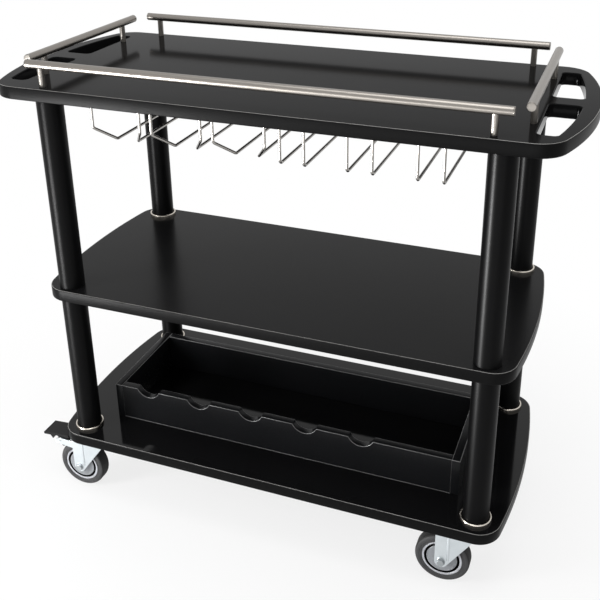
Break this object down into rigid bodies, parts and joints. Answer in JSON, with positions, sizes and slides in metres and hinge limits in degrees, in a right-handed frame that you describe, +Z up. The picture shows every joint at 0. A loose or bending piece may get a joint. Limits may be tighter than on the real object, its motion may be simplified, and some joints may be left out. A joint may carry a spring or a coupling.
{
  "type": "service cart",
  "caption": "Rolling bar cart: open shelves on round posts, with top rails, grip cut-outs, hanging stemware racks, a notched bottle rack and swivel casters with brakes.",
  "frame": {"origin": "on the floor, under the middle of the top shelf", "axes": "+X along the shelves to the right end, +Y to the back, +Z up"},
  "size_m": [1.13, 0.48, 0.998],
  "materials": {
    "shelf_laminate": "black semi-gloss laminate on board, edges banded black",
    "rack_board": "black satin lacquer on board",
    "dowel_wood": "plain beech, hidden in the boards",
    "post_paint": "satin black powder coat on steel tube",
    "plug_plastic": "moulded black, hidden in the tubes",
    "rail_steel": "brushed along the tube",
    "rack_chrome": "bright plated wire and strap",
    "collar_steel": "polished warm steel",
    "tyre_rubber": "matt dark grey rubber",
    "hub_plastic": "moulded grey",
    "pedal_plastic": "moulded black",
    "zinc": "bright zinc plate"
  },
  "bodies": {
    "frame": {"back_rail": "rail_steel", "bottle_back_board": "rack_board", "bottle_dowels": "dowel_wood", "bottle_front_board": "rack_board", "bottle_left_board": "rack_board", "bottle_right_board": "rack_board", "bottle_screws": "zinc", "bottom_shelf": "shelf_laminate", "caster_plate_bl": "zinc", "caster_plate_br": "zinc", "caster_plate_fl": "zinc", "caster_plate_fr": "zinc", "collars_bottom": "collar_steel", "collars_middle": "collar_steel", "front_rail": "rail_steel", "left_rack_straps": "rack_chrome", "left_rack_wires": "rack_chrome", "left_rail": "rail_steel", "lower_post_bl": "post_paint", "lower_post_br": "post_paint", "lower_post_fl": "post_paint", "lower_post_fr": "post_paint", "middle_shelf": "shelf_laminate", "plate_screws": "zinc", "post_plugs": "plug_plastic", "post_studs": "zinc", "rack_screws": "zinc", "rail_caps": "rail_steel", "rail_screws": "zinc", "rail_standoffs": "rail_steel", "right_rack_straps": "rack_chrome", "right_rack_wires": "rack_chrome", "right_rail": "rail_steel", "shelf_inserts": "zinc", "top_shelf": "shelf_laminate", "upper_post_bl": "post_paint", "upper_post_br": "post_paint", "upper_post_fl": "post_paint", "upper_post_fr": "post_paint"},
    "caster_fork_fl": {"fork_fl": "zinc", "axle_fl": "zinc", "pedal_pin_fl": "zinc"},
    "wheel_fl": {"hub_fl": "hub_plastic", "tyre_fl": "tyre_rubber"},
    "pedal_fl": {"brake_pedal_fl": "pedal_plastic"},
    "caster_fork_fr": {"fork_fr": "zinc", "axle_fr": "zinc"},
    "wheel_fr": {"hub_fr": "hub_plastic", "tyre_fr": "tyre_rubber"},
    "caster_fork_bl": {"fork_bl": "zinc", "axle_bl": "zinc"},
    "wheel_bl": {"hub_bl": "hub_plastic", "tyre_bl": "tyre_rubber"},
    "caster_fork_br": {"fork_br": "zinc", "axle_br": "zinc", "pedal_pin_br": "zinc"},
    "wheel_br": {"hub_br": "hub_plastic", "tyre_br": "tyre_rubber"},
    "pedal_br": {"brake_pedal_br": "pedal_plastic"}
  },
  "joints": [
    {"name": "front_left_swivel", "type": "hinge", "parent": "frame", "child": "caster_fork_fl", "pos_m": [-0.415, -0.19, 0.132], "axis": [0, 0, 1], "continuous": true},
    {"name": "front_left_wheel", "type": "hinge", "parent": "caster_fork_fl", "child": "wheel_fl", "pos_m": [-0.457, -0.19, 0.055], "axis": [0, 1, 0], "continuous": true},
    {"name": "front_left_brake", "type": "hinge", "parent": "caster_fork_fl", "child": "pedal_fl", "pos_m": [-0.501, -0.19, 0.115], "axis": [0, -1, 0], "range_deg": [0, 14]},
    {"name": "front_right_swivel", "type": "hinge", "parent": "frame", "child": "caster_fork_fr", "pos_m": [0.415, -0.19, 0.132], "axis": [0, 0, 1], "continuous": true},
    {"name": "front_right_wheel", "type": "hinge", "parent": "caster_fork_fr", "child": "wheel_fr", "pos_m": [0.373, -0.19, 0.055], "axis": [0, 1, 0], "continuous": true},
    {"name": "back_left_swivel", "type": "hinge", "parent": "frame", "child": "caster_fork_bl", "pos_m": [-0.415, 0.19, 0.132], "axis": [0, 0, 1], "continuous": true},
    {"name": "back_left_wheel", "type": "hinge", "parent": "caster_fork_bl", "child": "wheel_bl", "pos_m": [-0.457, 0.19, 0.055], "axis": [0, 1, 0], "continuous": true},
    {"name": "back_right_swivel", "type": "hinge", "parent": "frame", "child": "caster_fork_br", "pos_m": [0.415, 0.19, 0.132], "axis": [0, 0, 1], "continuous": true},
    {"name": "back_right_wheel", "type": "hinge", "parent": "caster_fork_br", "child": "wheel_br", "pos_m": [0.373, 0.19, 0.055], "axis": [0, 1, 0], "continuous": true},
    {"name": "back_right_brake", "type": "hinge", "parent": "caster_fork_br", "child": "pedal_br", "pos_m": [0.329, 0.19, 0.115], "axis": [0, -1, 0], "range_deg": [0, 14]}
  ]
}
